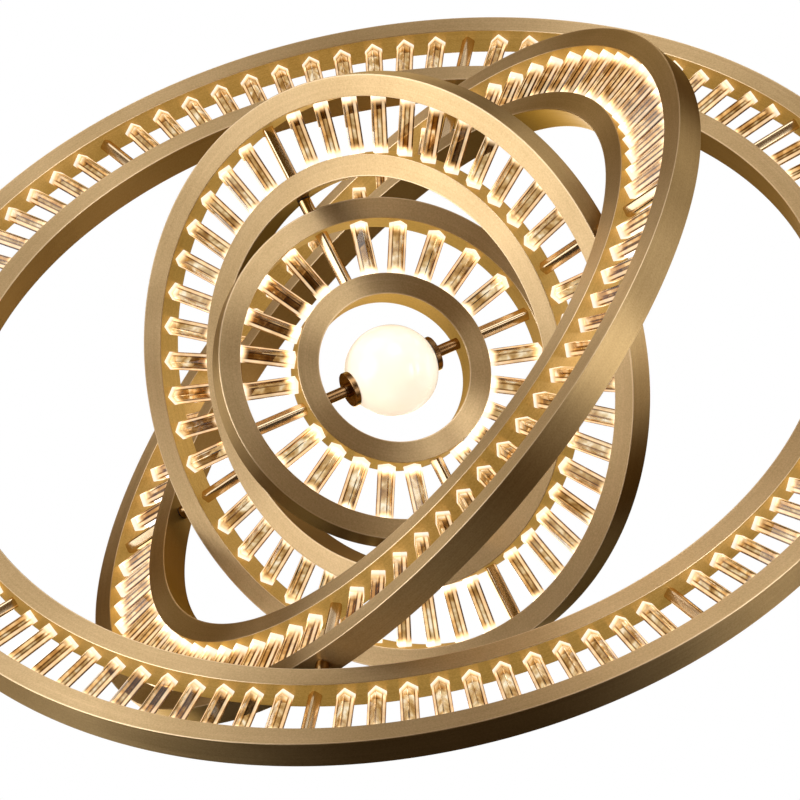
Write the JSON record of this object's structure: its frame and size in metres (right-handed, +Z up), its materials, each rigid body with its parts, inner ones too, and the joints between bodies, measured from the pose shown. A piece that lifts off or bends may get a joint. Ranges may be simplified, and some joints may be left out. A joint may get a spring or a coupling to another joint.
{
  "type": "gimbal chandelier",
  "caption": "Hanging light of concentric brass rings with lit crystal bars between their hoops, pivoted inside one another on alternating axes, round an opal glass globe.",
  "frame": {"origin": "centre of the globe, where all pivot axes cross", "axes": "+Z up as hung, +X along the hanging axis through both hanger blocks, +Y away from the viewer"},
  "size_m": [1.3166, 0.8372, 0.9034],
  "materials": {
    "hoop_brass": "satin brushed",
    "band_brass": "satin brushed, darker",
    "pivot_brass": "satin turned",
    "spacer": "satin, dark",
    "bush": "turned",
    "bronze": "satin bronze",
    "crystal": "polished clear",
    "opal_glass": "opal, satin",
    "washer": "matt",
    "led_strip": "matt",
    "lamp": "matt",
    "fastener": "plated"
  },
  "bodies": {
    "hanger": {"hanger_blocks": "pivot_brass", "ring_1_pivot_bushes": "bush"},
    "ring_1": {"ring_1_crystals": "crystal", "ring_1_inner_band": "band_brass", "ring_1_inner_hoop": "hoop_brass", "ring_1_led_strips": "led_strip", "ring_1_outer_band": "band_brass", "ring_1_outer_hoop": "hoop_brass", "ring_1_pivot_collars": "pivot_brass", "ring_1_pivot_nuts": "fastener", "ring_1_pivot_pins": "pivot_brass", "ring_1_pivot_washers": "washer", "ring_1_spacer_bars": "spacer", "ring_1_spacer_screws": "fastener", "ring_2_pivot_bushes": "bush"},
    "ring_2": {"ring_2_crystals": "crystal", "ring_2_inner_band": "band_brass", "ring_2_inner_hoop": "hoop_brass", "ring_2_led_strips": "led_strip", "ring_2_outer_band": "band_brass", "ring_2_outer_hoop": "hoop_brass", "ring_2_pivot_collars": "pivot_brass", "ring_2_pivot_nuts": "fastener", "ring_2_pivot_pins": "pivot_brass", "ring_2_pivot_washers": "washer", "ring_2_spacer_bars": "spacer", "ring_2_spacer_screws": "fastener", "ring_3_pivot_bushes": "bush"},
    "ring_3": {"ring_3_crystals": "crystal", "ring_3_inner_band": "band_brass", "ring_3_inner_hoop": "hoop_brass", "ring_3_led_strips": "led_strip", "ring_3_outer_band": "band_brass", "ring_3_outer_hoop": "hoop_brass", "ring_3_pivot_collars": "pivot_brass", "ring_3_pivot_nuts": "fastener", "ring_3_pivot_pins": "pivot_brass", "ring_3_pivot_washers": "washer", "ring_3_spacer_bars": "spacer", "ring_3_spacer_screws": "fastener", "ring_4_pivot_bushes": "bush"},
    "ring_4": {"globe_caps": "bronze", "globe_glass": "opal_glass", "globe_rod_nuts": "fastener", "globe_rods": "bronze", "globe_seals": "washer", "globe_tube": "fastener", "lamp_core": "lamp", "ring_4_crystals": "crystal", "ring_4_inner_band": "band_brass", "ring_4_inner_hoop": "hoop_brass", "ring_4_led_strips": "led_strip", "ring_4_outer_band": "band_brass", "ring_4_outer_hoop": "hoop_brass", "ring_4_pivot_collars": "pivot_brass", "ring_4_pivot_nuts": "fastener", "ring_4_pivot_pins": "pivot_brass", "ring_4_pivot_washers": "washer", "ring_4_spacer_bars": "spacer", "ring_4_spacer_screws": "fastener"}
  },
  "joints": [
    {"name": "ring_1_tilt", "type": "hinge", "parent": "hanger", "child": "ring_1", "pos_m": [0, 0, 0], "axis": [1, 0, 0], "range_deg": [-170, 170]},
    {"name": "ring_2_turn", "type": "hinge", "parent": "ring_1", "child": "ring_2", "pos_m": [0, 0, 0], "axis": [0, 0.6782, 0.7349], "range_deg": [-170, 170]},
    {"name": "ring_3_turn", "type": "hinge", "parent": "ring_2", "child": "ring_3", "pos_m": [0, 0, 0], "axis": [0.8028, -0.4382, 0.4043], "range_deg": [-170, 170]},
    {"name": "ring_4_turn", "type": "hinge", "parent": "ring_3", "child": "ring_4", "pos_m": [0, 0, 0], "axis": [-0.4561, -0.0145, 0.8898], "range_deg": [-170, 170]}
  ]
}
